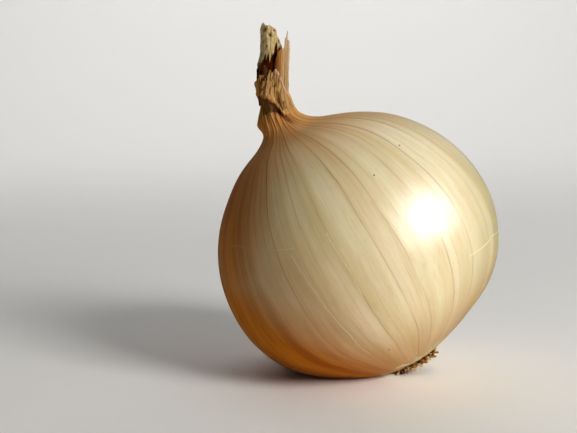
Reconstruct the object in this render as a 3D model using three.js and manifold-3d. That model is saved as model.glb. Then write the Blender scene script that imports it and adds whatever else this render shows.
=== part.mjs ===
// A globe onion lying on a table, tipped over so that its dry neck stands up at the left and its
// basal plate, with the stubs of dried roots, looks down to the right.
// Millimetres, +Z up. The origin is on the table, under the middle of the whole onion.
// +X is the side of the roots and -Y is the side that is seen best.

import * as THREE from 'three';
import { mergeVertices } from 'three/addons/utils/BufferGeometryUtils.js';
import Module from 'manifold-3d';

const wasm = await Module();
wasm.setup();

const degrees = THREE.MathUtils.degToRad;

// Size and lie of the bulb. Along the spine, 0 is the widest girth and the neck side is positive.
const girthRadius = 42.2;
const neckSide = 41.1;
const neckSideFullness = 0.5;
const rootSide = 33.6;
const rootSideFullness = 0.381;
const girthHeight = 36.85;
const tilt = degrees(29.1);
const neckLean = degrees(-1);
const neckBend = { from: 43.5, to: 55 };
const neckShift = { by: -1.6, from: 30, to: 42 };
const rootExtraTilt = degrees(2);
const rootTurnToViewer = degrees(8);
const rootBend = { from: -26, to: -40 };
const rootShift = { by: -1.49, from: -24, to: -37.6 };
const viewerBend = { from: -10, to: -41 };

// Dry neck: the outer skin drawn up into a crinkled collar, torn short in front and long on the right.
// Its slack is a few shallow waves round the neck that twist as they rise.
const neckRadius = 4.7;
const neckFlare = { at: 39.6, width: 1.9, rise: 15 };
const neckPower = 12;
const fold = { at: 47.9, slant: 4.4, lip: 0.6, depth: 1.1, reach: 5 };
const collarStart = { from: 38, to: 47 };
const slackWaves = [
  { waves: 3, twist: 0.16, out: 0.3 },
  { waves: 5, twist: -0.4, out: 0.22 },
];
const flakes = [
  { at: 46.2, angle: degrees(178), out: 1.3 },
  { at: 55.4, angle: degrees(172), out: 0.8 },
];
const flakeSpread = { along: 1.5, around: 0.35 };
const rim = { low: 57.4, high: 66.6, longSide: degrees(-10), step: [0.54, 0.68], tooth: 1.6 };
const wisp = { angle: degrees(20), halfWidth: 0.22, height: 4.6 };
const skinWall = 0.8;
const recessFloor = 54;

// Longitudinal veins stand out a little and gather into the pleats of the neck.
const veins = 30;
const columnsPerVein = 3;
const veinRelief = 0.16;
const pleatRelief = 0.6;
const veinsFadeBy = -20;

// Inner dried leaf sheath that stands in the collar, fluted, with a ragged slanting top.
const sheath = { radius: 3.4, tipRadius: 2.5, foot: recessFloor + 0.35, low: 66, high: 73.3 };
const sheathTop = { slantPower: 4, tooth: 1.8, wall: 0.8, hollow: 2.5, hollowRadius: 1 };
const sheathFlutes = [
  { waves: 7, twist: 0.2, out: 0.22 },
  { waves: 15, twist: 0, out: 0.12 },
];
const sheathOffset = { foot: -0.35, tip: -1.1 };
const sheathColumns = 30;

// Basal plate and root stubs, in the end of the short nose that the belly draws out to.
const plate = { at: -37.4, radius: 6.1, recess: 1.6, dome: 0.9, gap: 0.3, lip: 0.45 };
const nose = { widens: 21.1, over: 4.63, from: 0, full: -18, power: 9 };
const frontReach = 38.2;
const frontSpread = [0.15, 0.8];
const rootStubs = 56;
const stubLength = { from: 1, to: 2.6 };
const stubRadius = { from: 0.42, to: 0.78 };
const stubTaper = 0.4;
const stubSunk = 0.6;
const stubSplay = { least: 0.25, more: 0.9 };
const stubTableGap = 0.5;

const around = veins * columnsPerVein;
const clamp01 = (x) => THREE.MathUtils.clamp(x, 0, 1);
const ease = (from, to, x) => {
  const t = clamp01((x - from) / (to - from));
  return t * t * (3 - 2 * t);
};

// The larger of two radii, rounded where they cross.
const softMax = (a, b, power) => (a ** power + b ** power) ** (1 / power);

const wavesAt = (list, s, angle, wave) => list.reduce(
  (sum, { waves, twist, out }) => sum + out * wave(waves * angle + twist * s), 0);

// A repeatable number from 0 to 1 for item i of the series k.
const scatter = (i, k = 0) => {
  const x = Math.sin(i * 12.9898 + k * 78.233) * 43758.5453;
  return x - Math.floor(x);
};

// Lean of the spine from upright, towards -X, at a place along it.
function leanAt(s) {
  const atRoot = ease(rootBend.from, rootBend.to, s);
  const atNeck = clamp01((s - neckBend.from) / (neckBend.to - neckBend.from));
  return tilt + rootExtraTilt * atRoot + (neckLean - tilt) * atNeck;
}

// Directions across the spine, side to the right and front to the viewer, and up along it.
function directionsAt(s) {
  const lean = leanAt(s);
  const turn = rootTurnToViewer * ease(viewerBend.from, viewerBend.to, s);
  const side = new THREE.Vector3(Math.cos(lean), 0, Math.sin(lean));
  const up = new THREE.Vector3(-Math.sin(lean), 0, Math.cos(lean));
  const front = new THREE.Vector3(0, -1, 0);
  up.applyAxisAngle(side, -turn);
  front.applyAxisAngle(side, -turn);
  return { side, front, up };
}

function frameAt(s) {
  const steps = Math.max(1, Math.ceil(Math.abs(s) / 0.5));
  const step = s / steps;
  const centre = new THREE.Vector3(0, 0, girthHeight);
  for (let i = 0; i < steps; i++) centre.addScaledVector(directionsAt((i + 0.5) * step).up, step);
  const directions = directionsAt(s);
  for (const shift of [neckShift, rootShift]) {
    centre.addScaledVector(directions.side, shift.by * ease(shift.from, shift.to, s));
  }
  return { centre, ...directions };
}

// The soft underside is pressed flat where it would reach below the table.
function settle(point) {
  point.z = Math.max(0, point.z);
  return point;
}

function ringPoint(s, angle, radius) {
  const { centre, side, front } = frameAt(s);
  centre.addScaledVector(side, radius * Math.cos(angle));
  centre.addScaledVector(front, radius * Math.sin(angle));
  return centre;
}

// Height of the ridge over one vein, 1 on the vein and 0 half way to the next.
function ridge(angle) {
  const turn = (angle / (2 * Math.PI)) * veins;
  const vein = Math.round(turn);
  const strength = 0.45 + 0.55 * scatter(((vein % veins) + veins) % veins, 1);
  return strength * (1 - 2 * Math.abs(turn - vein));
}

function bellyRadius(s) {
  const share = clamp01(Math.abs(s) / (s > 0 ? neckSide : rootSide));
  return girthRadius * (1 - share * share) ** (s > 0 ? neckSideFullness : rootSideFullness);
}

// The belly runs out into the neck at one end. At the other it draws out to the short nose of the
// basal plate on the left and right, and is round down to the plate in front and behind.
function profileRadius(s, angle) {
  if (s > 0) {
    const flare = neckFlare.rise / (1 + Math.exp((s - neckFlare.at) / neckFlare.width));
    return softMax(bellyRadius(s), neckRadius + flare, neckPower);
  }
  const lipRadius = plate.radius + plate.lip;
  const widened = nose.widens * (1 - Math.exp((plate.at - s) / nose.over));
  const drawnOut = (lipRadius + widened) * ease(nose.from, nose.full, s);
  const atSide = softMax(bellyRadius(s), drawnOut, nose.power);
  const fullness = Math.log(lipRadius / girthRadius) / Math.log(1 - (plate.at / frontReach) ** 2);
  const atFront = girthRadius * (1 - (s / frontReach) ** 2) ** fullness;
  return THREE.MathUtils.lerp(atSide, atFront, ease(...frontSpread, Math.abs(Math.sin(angle))));
}

// Where the fold of the collar runs round the neck.
const foldLine = (angle) => fold.at - fold.slant * Math.cos(angle);

const awayFrom = (angle, other) => Math.abs(
  Math.atan2(Math.sin(angle - other), Math.cos(angle - other)));

// Outer radius of the skin, from the root to the torn rim of the neck.
function skinRadius(s, angle) {
  const inNeck = ease(collarStart.from, collarStart.to, s);
  const fading = ease(-rootSide, veinsFadeBy, s);
  const relief = THREE.MathUtils.lerp(veinRelief, pleatRelief, inNeck) * fading;
  let radius = profileRadius(s, angle) + wavesAt(slackWaves, s, angle, Math.sin) * inNeck;
  radius += ridge(angle) * relief;
  const under = foldLine(angle) - s;
  if (under > 0) {
    const tucked = ease(0, fold.lip, under) * (1 - ease(fold.lip, fold.reach, under));
    radius -= fold.depth * tucked * inNeck;
  }
  for (const flake of flakes) {
    const along = (s - flake.at) / flakeSpread.along;
    const aside = awayFrom(angle, flake.angle) / flakeSpread.around;
    radius += flake.out * Math.exp(-along * along - aside * aside);
  }
  return radius;
}

// Torn edge of the skin: short in front, long behind on the right, where it ends in a thin wisp.
function rimAt(angle) {
  const long = 0.5 + 0.5 * Math.cos(angle - rim.longSide);
  const column = Math.round((angle / (2 * Math.PI)) * around) % around;
  const tooth = rim.tooth * (scatter(column, 2) - 0.5);
  const spike = wisp.height * clamp01(1 - awayFrom(angle, wisp.angle) / wisp.halfWidth);
  return rim.low + (rim.high - rim.low) * ease(...rim.step, long) + tooth + spike;
}

// A closed surface over rings that all have the same number of points, and its two end points.
function closedSurface(firstPoint, rings, lastPoint) {
  const columns = rings[0].length;
  const points = [firstPoint, ...rings.flat(), lastPoint];
  const last = points.length - 1;
  const at = (row, column) => 1 + row * columns + (column % columns);
  const faces = [];
  for (let c = 0; c < columns; c++) {
    faces.push(0, at(0, c), at(0, c + 1));
    for (let r = 0; r + 1 < rings.length; r++) {
      faces.push(at(r, c), at(r + 1, c), at(r + 1, c + 1));
      faces.push(at(r, c), at(r + 1, c + 1), at(r, c + 1));
    }
    faces.push(last, at(rings.length - 1, c + 1), at(rings.length - 1, c));
  }
  const geometry = new THREE.BufferGeometry().setFromPoints(points);
  geometry.setIndex(faces);
  return geometry;
}

function ringOf(columns, pointAt) {
  return Array.from({ length: columns }, (_, c) => settle(pointAt((c / columns) * 2 * Math.PI)));
}

// Evenly spaced numbers between two ends, without the ends.
function spread(from, to, count) {
  return Array.from({ length: count }, (_, i) => from + ((to - from) * (i + 1)) / (count + 1));
}

// Bulb with its outer skin: from the recess of the basal plate, over the belly, up the neck to the
// torn rim and down inside the collar.
function bulbGeometry() {
  const ringAt = (s, radiusAt) => ringOf(around, (angle) => ringPoint(s, angle, radiusAt(angle)));
  const recessTop = plate.at + plate.recess;
  const bevel = 0.15;
  const rings = [
    ringAt(recessTop, () => plate.radius),
    ringAt(plate.at + bevel, () => plate.radius),
    ringAt(plate.at, () => plate.radius + plate.lip),
  ];
  const neckFoot = 37;
  const closerAtRoot = 1.1;
  const bellyRows = [
    ...spread(0, 1, 17).map((t) => plate.at * Math.cos((t ** closerAtRoot * Math.PI) / 2)),
    0,
    ...spread(0, 1, 13).map((t) => neckFoot * Math.sin((t * Math.PI) / 2)),
  ];
  for (const s of bellyRows) rings.push(ringAt(s, (angle) => skinRadius(s, angle)));
  const neckRows = 15;
  for (let i = 0; i <= neckRows; i++) {
    rings.push(ringOf(around, (angle) => {
      const s = THREE.MathUtils.lerp(neckFoot, rimAt(angle), i / neckRows);
      return ringPoint(s, angle, skinRadius(s, angle));
    }));
  }
  for (const t of [0, 0.5, 1]) {
    rings.push(ringOf(around, (angle) => {
      const s = THREE.MathUtils.lerp(rimAt(angle), recessFloor, t);
      return ringPoint(s, angle, skinRadius(s, angle) - skinWall);
    }));
  }
  return closedSurface(ringPoint(recessTop, 0, 0), rings, ringPoint(recessFloor, 0, 0));
}

// Inner leaf sheath: a slim pleated roll with a ragged slanting top and a shallow hollow in its end.
function sheathGeometry() {
  const topAt = (angle) => {
    const column = Math.round((angle / (2 * Math.PI)) * sheathColumns) % sheathColumns;
    const lowSide = (0.5 + 0.5 * Math.cos(angle)) ** sheathTop.slantPower;
    const tooth = sheathTop.tooth * (scatter(column, 3) - 0.5);
    return THREE.MathUtils.lerp(sheath.high, sheath.low, lowSide) + tooth;
  };
  const radiusAt = (s, angle) => {
    const t = clamp01((s - sheath.foot) / (sheath.low - sheath.foot));
    const flutes = wavesAt(sheathFlutes, s, angle, Math.cos);
    return THREE.MathUtils.lerp(sheath.radius, sheath.tipRadius, t) + flutes;
  };
  const pointAt = (s, angle, radius) => {
    const t = clamp01((s - sheath.foot) / (sheath.high - sheath.foot));
    const point = ringPoint(s, angle, radius);
    point.x += THREE.MathUtils.lerp(sheathOffset.foot, sheathOffset.tip, t * t);
    return point;
  };
  const rings = [];
  const rows = 10;
  for (let i = 0; i <= rows; i++) {
    rings.push(ringOf(sheathColumns, (angle) => {
      const s = THREE.MathUtils.lerp(sheath.foot, topAt(angle), i / rows);
      return pointAt(s, angle, radiusAt(s, angle));
    }));
  }
  const bevel = 0.2;
  rings.push(ringOf(sheathColumns, (angle) => {
    const s = topAt(angle);
    return pointAt(s - bevel, angle, radiusAt(s, angle) - sheathTop.wall);
  }));
  const hollowFloor = sheath.low - sheathTop.hollow;
  rings.push(ringOf(sheathColumns, (angle) => pointAt(hollowFloor, angle, sheathTop.hollowRadius)));
  return closedSurface(pointAt(sheath.foot, 0, 0), rings, pointAt(hollowFloor, 0, 0));
}

function solidOf(geometry) {
  const bare = geometry.clone();
  bare.deleteAttribute('normal');
  bare.deleteAttribute('uv');
  const merged = mergeVertices(bare, 1e-4);
  return new wasm.Manifold(new wasm.Mesh({
    numProp: 3,
    vertProperties: merged.attributes.position.array,
    triVerts: new Uint32Array(merged.index.array),
  }));
}

function geometryOf(solid) {
  const mesh = solid.getMesh();
  const geometry = new THREE.BufferGeometry();
  geometry.setAttribute('position', new THREE.BufferAttribute(mesh.vertProperties, 3));
  geometry.setIndex(new THREE.BufferAttribute(mesh.triVerts, 1));
  return geometry;
}

// One dried root stub: a tapered rod of five sides that leaves the plate and curls outwards.
function stubGeometry(k) {
  const { centre, side, front, up } = frameAt(plate.at);
  const out = up.clone().negate();
  const goldenTurn = degrees(137.5);
  const reach = plate.radius * 0.9 * Math.sqrt((k + 0.5) / rootStubs);
  const turn = k * goldenTurn;
  const radial = side.clone().multiplyScalar(Math.cos(turn)).addScaledVector(front, Math.sin(turn));
  const length = THREE.MathUtils.lerp(stubLength.from, stubLength.to, scatter(k, 4));
  const thick = THREE.MathUtils.lerp(stubRadius.from, stubRadius.to, scatter(k, 5));
  const splay = stubSplay.least + stubSplay.more * (reach / plate.radius) * scatter(k, 6);
  const foot = centre.clone().addScaledVector(radial, reach).addScaledVector(out, -stubSunk);
  const sides = 5;
  const rings = [0, 0.45, 0.8, 1].map((t) => {
    const middle = foot.clone()
      .addScaledVector(out, (stubSunk + length) * t * (1 - 0.25 * splay * t))
      .addScaledVector(radial, length * splay * t * t);
    const radius = thick * (1 - stubTaper * t);
    return Array.from({ length: sides }, (_, c) => {
      const angle = (c / sides) * 2 * Math.PI;
      return middle.clone()
        .addScaledVector(side, radius * Math.cos(angle))
        .addScaledVector(front, -radius * Math.sin(angle));
    });
  });
  const middleOf = (ring) => ring
    .reduce((sum, p) => sum.add(p), new THREE.Vector3())
    .divideScalar(sides);
  const ends = [middleOf(rings[0]), middleOf(rings.at(-1)).addScaledVector(out, 0.1)];
  for (const point of [...rings.flat(), ...ends]) {
    const short = (point.z - stubTableGap) / stubTableGap;
    if (short < 0) point.z = stubTableGap * Math.exp(short);
  }
  return closedSurface(ends[0], rings, ends[1]);
}

// Basal plate: a low dome that fills its recess with a little play.
function plateGeometry() {
  const radius = plate.radius - plate.gap;
  const back = plate.at + plate.recess - plate.gap;
  const crown = plate.at - plate.dome;
  const columns = 30;
  const ring = (s, r) => ringOf(columns, (angle) => ringPoint(s, angle, r)).reverse();
  const rings = [
    ring(back, radius),
    ring(plate.at + 0.1, radius),
    ring(plate.at - 0.6 * plate.dome, radius * 0.8),
    ring(crown, radius * 0.4),
  ];
  return closedSurface(ringPoint(back, 0, 0), rings, ringPoint(crown, 0, 0));
}

function rootPlateGeometry() {
  let solid = solidOf(plateGeometry());
  for (let k = 0; k < rootStubs; k++) solid = solid.add(solidOf(stubGeometry(k)));
  return geometryOf(solid);
}

function addMesh(group, name, geometry, colour, roughness) {
  geometry.computeVertexNormals();
  const material = new THREE.MeshStandardMaterial({ color: colour, roughness, metalness: 0 });
  const mesh = new THREE.Mesh(geometry, material);
  mesh.name = name;
  group.add(mesh);
  return mesh;
}

const onion = new THREE.Group();
onion.name = 'onion';
addMesh(onion, 'bulb', bulbGeometry(), 0xd8bd83, 0.38);
addMesh(onion, 'inner_sheath', sheathGeometry(), 0xb7a170, 0.8);
addMesh(onion, 'root_plate', rootPlateGeometry(), 0x6b4a26, 0.9);

const box = new THREE.Box3().setFromObject(onion);
const middle = box.getCenter(new THREE.Vector3());
onion.position.set(-middle.x, -middle.y, -box.min.z);

export default onion;
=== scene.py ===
# A globe onion lying on a pale table, with its torn dry neck up and its root end down at the right.
import math

import bpy
import numpy as np
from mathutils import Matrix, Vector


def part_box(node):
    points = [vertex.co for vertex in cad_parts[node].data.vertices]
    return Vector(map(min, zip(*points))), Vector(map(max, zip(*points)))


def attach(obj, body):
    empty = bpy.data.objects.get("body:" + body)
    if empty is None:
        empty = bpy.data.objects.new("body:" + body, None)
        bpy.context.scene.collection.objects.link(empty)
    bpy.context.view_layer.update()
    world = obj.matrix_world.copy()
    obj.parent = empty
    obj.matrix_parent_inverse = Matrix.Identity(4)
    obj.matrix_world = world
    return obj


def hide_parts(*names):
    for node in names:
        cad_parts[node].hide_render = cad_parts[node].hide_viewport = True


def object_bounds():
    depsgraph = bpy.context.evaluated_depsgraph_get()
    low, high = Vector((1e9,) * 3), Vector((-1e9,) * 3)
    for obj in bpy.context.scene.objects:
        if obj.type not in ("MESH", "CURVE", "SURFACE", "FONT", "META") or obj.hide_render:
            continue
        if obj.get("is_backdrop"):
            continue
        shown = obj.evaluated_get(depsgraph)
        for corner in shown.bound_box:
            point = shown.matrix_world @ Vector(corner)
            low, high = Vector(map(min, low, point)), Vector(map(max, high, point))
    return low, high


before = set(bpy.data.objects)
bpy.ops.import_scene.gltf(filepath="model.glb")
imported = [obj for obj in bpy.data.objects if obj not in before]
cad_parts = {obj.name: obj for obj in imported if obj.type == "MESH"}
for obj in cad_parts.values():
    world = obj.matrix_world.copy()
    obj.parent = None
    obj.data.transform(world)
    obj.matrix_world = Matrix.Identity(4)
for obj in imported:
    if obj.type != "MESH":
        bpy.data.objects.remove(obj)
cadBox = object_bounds()
mm = 0.001  # pieces are worked out in millimetres, and Blender gets metres
print("frame loaded:", ", ".join(sorted(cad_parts)))


# Small maths for shapes. All of it works on whole arrays.

def scatter(item, series=0):  # a repeatable number from 0 to 1
    wave = np.sin(np.asarray(item, float) * 12.9898 + series * 78.233) * 43758.5453
    return wave - np.floor(wave)


def ease(start, end, value):
    share = np.clip((value - start) / (end - start), 0, 1)
    return share * share * (3 - 2 * share)


def softMax(a, b, power):  # the larger of two radii, rounded where they cross
    return (a ** power + b ** power) ** (1 / power)


def grain(turn, along, cells, series, layers=3):  # soft noise from -1 to 1 that closes after one turn
    total, size, most = 0, 1, 0
    for layer in range(layers):
        count = cells * 2 ** layer
        x, y = np.broadcast_arrays(turn * count, along * 2.0 ** layer)
        left, low = np.floor(x), np.floor(y)
        fx, fy = ease(0, 1, x - left), ease(0, 1, y - low)
        corner = lambda i, j: scatter(np.mod(left + i, count) + 57 * (low + j), series + layer)
        lower = corner(0, 0) * (1 - fx) + corner(1, 0) * fx
        upper = corner(0, 1) * (1 - fx) + corner(1, 1) * fx
        total = total + size * (2 * (lower * (1 - fy) + upper * fy) - 1)
        most += size
        size *= 0.5
    return total / most


def creases(noise, narrowness):  # narrow lines where the noise crosses zero, 0 to 1
    return np.maximum(1 - narrowness * np.abs(noise), 0)


def mix(pair, share):
    return pair[0] + (pair[1] - pair[0]) * share


def away(angle, other):  # how far apart two angles are
    return np.abs(np.arctan2(np.sin(angle - other), np.cos(angle - other)))


def roundTheTurn(angle, stops):  # smooth value round a turn, from (degrees, value) stops
    degrees, values = zip(*sorted(stops))
    degrees = np.array([degrees[-1] - 360, *degrees, degrees[0] + 360], float)
    values = np.array([values[-1], *values, values[0]], float)
    place = np.mod(np.degrees(angle) + 180, 360) - 180
    at = np.clip(np.searchsorted(degrees, place, side="right") - 1, 0, len(degrees) - 2)
    share = ease(0, 1, (place - degrees[at]) / (degrees[at + 1] - degrees[at]))
    return values[at] + (values[at + 1] - values[at]) * share


# The spine runs from the roots through the bulb and up the neck. Along it 0 is the widest girth.

bulbLow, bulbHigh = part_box("bulb")
reliefRoom = 0.1  # the veins stand out this far, and the belly stays inside the box with them
bulb = {  # mm and degrees; a bend is from and to along the spine, and a shift has its size before that
    "girthRadius": (bulbHigh.y - bulbLow.y) / 2 / mm - reliefRoom,
    "girthHeight": 36.85,
    "neckSide": 41.1,
    "neckFullness": 0.5,  # 0.5 is an ellipse, and less is fuller
    "rootSide": 33.6,
    "rootFullness": 0.381,
    "tilt": 29.1,
    "neckLean": -1,
    "neckBend": (43.5, 55),
    "neckShift": (-1.6, 30, 42),
    "rootExtraTilt": 2,
    "rootTurn": 8,
    "rootBend": (-26, -40),
    "rootShift": (-1.49, -24, -37.6),
    "viewerBend": (-10, -41),
    "noseWidens": 21.1,
    "noseOver": 4.63,
    "nosePower": 9,
    "noseFrom": (0, -18),
    "frontReach": 38.2,
    "frontSpread": (0.15, 0.8),
    "plateAt": -37.4,
    "plateRadius": 6.1,
    "plateRecess": 1.6,
    "plateLip": 0.45,
    "neckRadius": 4.7,
    "flareAt": 39.6,
    "flareWidth": 1.9,
    "flareRise": 15,
    "neckPower": 12,
}
spineStep = 0.1
rowsToRoot, rowsToNeck = 420, 820  # steps of the spine below and above the widest girth


def buildSpine():
    along = np.arange(-rowsToRoot, rowsToNeck + 1) * spineStep
    atRoot = ease(*bulb["rootBend"], along)
    atNeck = np.clip((along - bulb["neckBend"][0]) / (bulb["neckBend"][1] - bulb["neckBend"][0]), 0, 1)
    lean = bulb["tilt"] + bulb["rootExtraTilt"] * atRoot + (bulb["neckLean"] - bulb["tilt"]) * atNeck
    lean = np.radians(lean)
    turn = np.radians(bulb["rootTurn"]) * ease(*bulb["viewerBend"], along)
    none = np.zeros_like(along)
    side = np.stack([np.cos(lean), none, np.sin(lean)], 1)
    straight = np.stack([-np.sin(lean), none, np.cos(lean)], 1)
    toViewer = np.stack([none, none - 1, none], 1)
    up = straight * np.cos(turn)[:, None] - toViewer * np.sin(turn)[:, None]
    front = toViewer * np.cos(turn)[:, None] + straight * np.sin(turn)[:, None]
    steps = (up[1:] + up[:-1]) / 2 * spineStep
    centre = np.concatenate([np.zeros((1, 3)), np.cumsum(steps, 0)])
    centre += np.array([0, 0, bulb["girthHeight"]]) - centre[rowsToRoot]
    for by, start, end in (bulb["neckShift"], bulb["rootShift"]):
        centre += side * (by * ease(start, end, along))[:, None]
    return along, centre, side, front, up


spine = buildSpine()
girthMiddle = spine[1][rowsToRoot]


def onSpine(rows, along):
    return np.stack([np.interp(along, spine[0], rows[:, i]) for i in range(3)], -1)


def ringPoint(along, angle, radius):  # angle 0 is the side of the roots, and a quarter turn is the front
    along, angle, radius = np.broadcast_arrays(along, angle, radius)
    across = onSpine(spine[2], along) * np.cos(angle)[..., None]
    across = across + onSpine(spine[3], along) * np.sin(angle)[..., None]
    return onSpine(spine[1], along) + across * radius[..., None]


def bellyRadius(along):
    share = np.clip(np.abs(along) / np.where(along > 0, bulb["neckSide"], bulb["rootSide"]), 0, 1)
    fullness = np.where(along > 0, bulb["neckFullness"], bulb["rootFullness"])
    return bulb["girthRadius"] * (1 - share ** 2) ** fullness


def profileRadius(along, angle):
    belly, rim = bellyRadius(along), bulb["plateRadius"] + bulb["plateLip"]
    flare = bulb["flareRise"] / (1 + np.exp((along - bulb["flareAt"]) / bulb["flareWidth"]))
    atNeck = softMax(belly, bulb["neckRadius"] + flare, bulb["neckPower"])
    fromPlate = bulb["plateAt"] - np.minimum(along, 0)
    nose = rim + bulb["noseWidens"] * (1 - np.exp(fromPlate / bulb["noseOver"]))
    atSide = softMax(belly, nose * ease(*bulb["noseFrom"], along), bulb["nosePower"])
    share = np.clip((along / bulb["frontReach"]) ** 2, 0, 1)  # front and back are round down to the plate
    leftAtPlate = 1 - (bulb["plateAt"] / bulb["frontReach"]) ** 2
    roundness = math.log(rim / bulb["girthRadius"]) / math.log(leftAtPlate)
    atFront = bulb["girthRadius"] * (1 - share) ** roundness
    atRoot = atSide + (atFront - atSide) * ease(*bulb["frontSpread"], np.abs(np.sin(angle)))
    return np.where(along > 0, atNeck, atRoot)


# Veins run from root to neck, unevenly spaced, and wander a little.

veins = {
    "count": 30,
    "unevenness": 0.34,  # of the room between two veins
    "wander": 0.022,  # radians
    "ridge": 0.1,
    "pleat": 0.5,
    "weakest": 0.35,  # of the relief of the strongest
    "width": 0.16,  # of the room between two veins
}


def veinTurn(angle, along):  # a turn from 0 to 1 in which the veins are evenly spaced
    count, around = veins["count"], angle / (2 * np.pi)
    shake = grain(around, along / 22, cells=9, series=40, layers=2)
    shake = shake + 0.12 * grain(around, along / 5, cells=40, series=44, layers=2)
    wandering = np.mod(angle + veins["wander"] * shake, 2 * np.pi) / (2 * np.pi) * count
    index = np.arange(-1, count + 2)
    offset = veins["unevenness"] * (2 * scatter(np.mod(index, count), series=21) - 1)
    return np.interp(wandering, index + offset, index) / count


def veinRidge(turn):
    place = turn * veins["count"]
    nearest = np.round(place)
    strength = mix((veins["weakest"], 1), scatter(np.mod(nearest, veins["count"]), series=1))
    return strength * np.exp(-((place - nearest) / veins["width"]) ** 2)


# Collar: the skin drawn up round the neck, folded over itself once and torn off.

collar = {  # lines round the neck are (degrees, mm along the spine)
    "start": (39.5, 48),
    "slack": ((3, 0.16, 0.3), (5, -0.4, 0.22)),  # waves, radians of twist per mm, mm
    "foldLine": (
        (-150, 51), (-60, 48), (20, 45), (70, 46), (82, 48.6), (95, 50.4), (114, 51.7), (150, 52.4),
        (178, 52),
    ),
    "foldSide": (0.2, 0.5),
    "foldTurn": 0.25,  # radians
    "foldDepth": 1.5,
    "foldReach": 4.6,
    "foldLip": 0.5,
    "foldLipAt": 0.9,
    "tornEdge": (
        (-150, 55.6), (-90, 54.6), (-40, 52.8), (4, 51), (26, 52.4), (45, 54.6), (60, 57), (74, 58.9),
        (84, 59.2), (93, 58), (102, 58.9), (132, 57.8), (166, 56), (178, 55.4),
    ),
    "tear": 0.7,
    "frays": 240,
    "wall": 0.3,
    "turnedIn": (  # mm past the torn edge, share of the wall
        (0.12, 0.35), (0, 0.8), (-0.5, 1), (-1.5, 1), (-3, 1), (-5, 1), (0, 1),
    ),
    "innerFoot": 47,
    "bulges": 0.5,
    "creases": 0.5,
    "crumple": 0.4,
    "flakes": ((45.9, 176, 1.5), (55.2, 172, 0.8)),  # mm along, degrees, mm out
    "flakeSpread": (1.5, 0.35),  # mm, radians
    "waviness": 0.28,
}


def foldSide(angle):  # the collar is folded over in front and on the left
    return ease(*collar["foldSide"], 0.5 - 0.5 * np.cos(angle + collar["foldTurn"]))


def collarCreases(along, angle):  # long creases, small ones across them, and wide bulges from -1 to 1
    around = angle / (2 * np.pi)
    twisted = around + 0.005 * (along - 50) + 0.012 * grain(around, along / 5, cells=12, series=54, layers=2)
    long = creases(grain(twisted, along / 9, cells=23, series=56, layers=2), 3.6)
    small = creases(grain(twisted + 0.004 * along, along / 2.2, cells=30, series=60), 3.4)
    return long, small, grain(twisted, along / 4, cells=8, series=58)


def skinRadius(along, angle, turn):
    inNeck = ease(*collar["start"], along)
    around = angle / (2 * np.pi)
    slack = sum(out * np.sin(waves * angle + twist * along) for waves, twist, out in collar["slack"])
    radius = profileRadius(along, angle) + slack * inNeck
    fold = roundTheTurn(angle, collar["foldLine"])
    fold = fold + 0.5 * grain(around, along * 0, cells=11, series=52, layers=2)
    under = fold - along
    folded = foldSide(angle) * inNeck
    below = ease(-0.4, 0.5, under)
    pleat = veins["pleat"] * (0.4 + 1.2 * below * folded)
    lift = veins["ridge"] + (pleat - veins["ridge"]) * inNeck
    radius = radius + veinRidge(turn) * lift * ease(-bulb["rootSide"], -20, along)
    wavy = collar["waviness"] * grain(around, along / 24, cells=5, series=50, layers=2)
    radius = radius + wavy * ease(-34, -24, along)
    tucked = collar["foldDepth"] * folded * (1 - ease(0.6, collar["foldReach"], under)) * ease(0, 0.5, under)
    lip = np.exp(-((under + collar["foldLipAt"]) / collar["foldLipAt"]) ** 2)
    radius = radius - tucked + collar["foldLip"] * folded * lip
    long, small, wide = collarCreases(along, angle)
    rough = (0.35 + 0.65 * folded) * ease(41, 48, along)
    radius = radius + rough * collar["bulges"] * wide
    furrows = collar["creases"] * long + collar["crumple"] * small - 0.25
    radius = radius - rough * (1 - 0.75 * below) * furrows
    alongSpread, aroundSpread = collar["flakeSpread"]
    for at, degrees, out in collar["flakes"]:
        apart = ((along - at) / alongSpread) ** 2 + (away(angle, np.radians(degrees)) / aroundSpread) ** 2
        radius = radius + out * np.exp(-apart)
    return radius


def tornEdge(angle):
    around = angle / (2 * np.pi)
    ragged = 0.8 * grain(around, 0 * angle, cells=18, series=64)
    frayed = 0.35 * (2 * scatter(np.round(around * collar["frays"]), series=68) - 1)
    return roundTheTurn(angle, collar["tornEdge"]) + collar["tear"] * (ragged + frayed)


# Shader building: a Wire is one socket, and expressions on wires add the nodes.

def paint(red, green, blue):  # a colour as it looks on a screen, 0 to 255
    linear = [((c / 255 + 0.055) / 1.055) ** 2.4 if c > 10 else c / 255 / 12.92 for c in (red, green, blue)]
    return (*linear, 1.0)


class Wire:
    def __init__(self, finish, socket):
        self.finish, self.socket = finish, socket

    def math(self, operation, *others):
        return self.finish.math(operation, self, *others)

    def __add__(self, other): return self.math("ADD", other)
    def __sub__(self, other): return self.math("SUBTRACT", other)
    def __rsub__(self, other): return self.finish.math("SUBTRACT", other, self)
    def __mul__(self, other): return self.math("MULTIPLY", other)
    def __truediv__(self, other): return self.math("DIVIDE", other)
    def __pow__(self, other): return self.math("POWER", other)
    __radd__, __rmul__ = __add__, __mul__

    def between(self, start, end):  # smooth step from 0 to 1, also with start over end
        settings = {"interpolation_type": "SMOOTHSTEP"}
        inputs = {"Value": self, "From Min": start, "From Max": end}
        return self.finish.node("ShaderNodeMapRange", settings, inputs)


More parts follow.
